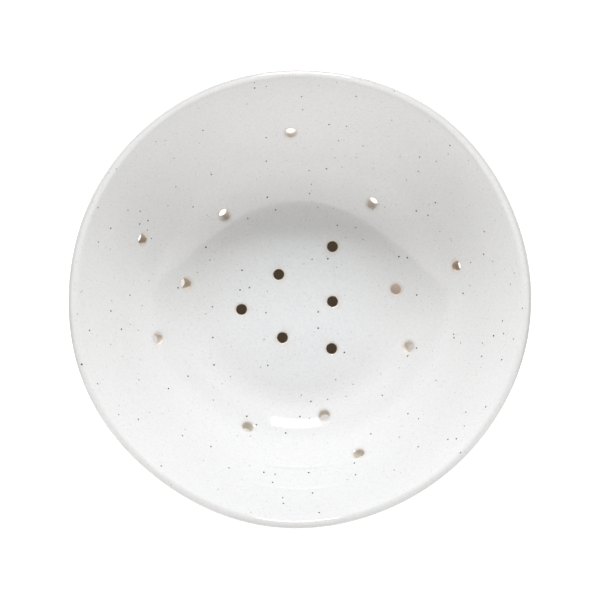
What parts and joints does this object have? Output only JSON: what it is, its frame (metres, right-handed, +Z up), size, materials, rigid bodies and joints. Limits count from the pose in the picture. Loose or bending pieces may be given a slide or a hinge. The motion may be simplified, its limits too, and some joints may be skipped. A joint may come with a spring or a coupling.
{
  "type": "stoneware colander",
  "caption": "Round shallow stoneware colander bowl with a flared wall, scattered round drain holes and a low foot ring, for rinsing fruit and vegetables.",
  "frame": {"origin": "centre of the ring-shaped face that the foot stands on", "axes": "+Z up along the bowl's axis, +X to the right and +Y up the picture in a view from straight above"},
  "size_m": [0.2314, 0.2287, 0.0708],
  "materials": {
    "stoneware": "matte",
    "white_glaze": "gloss",
    "slip": "matte"
  },
  "bodies": {
    "root": {"clay_bowl": "stoneware", "glaze_coat": "white_glaze", "foot_ring": "stoneware", "joining_slip": "slip"}
  },
  "joints": []
}
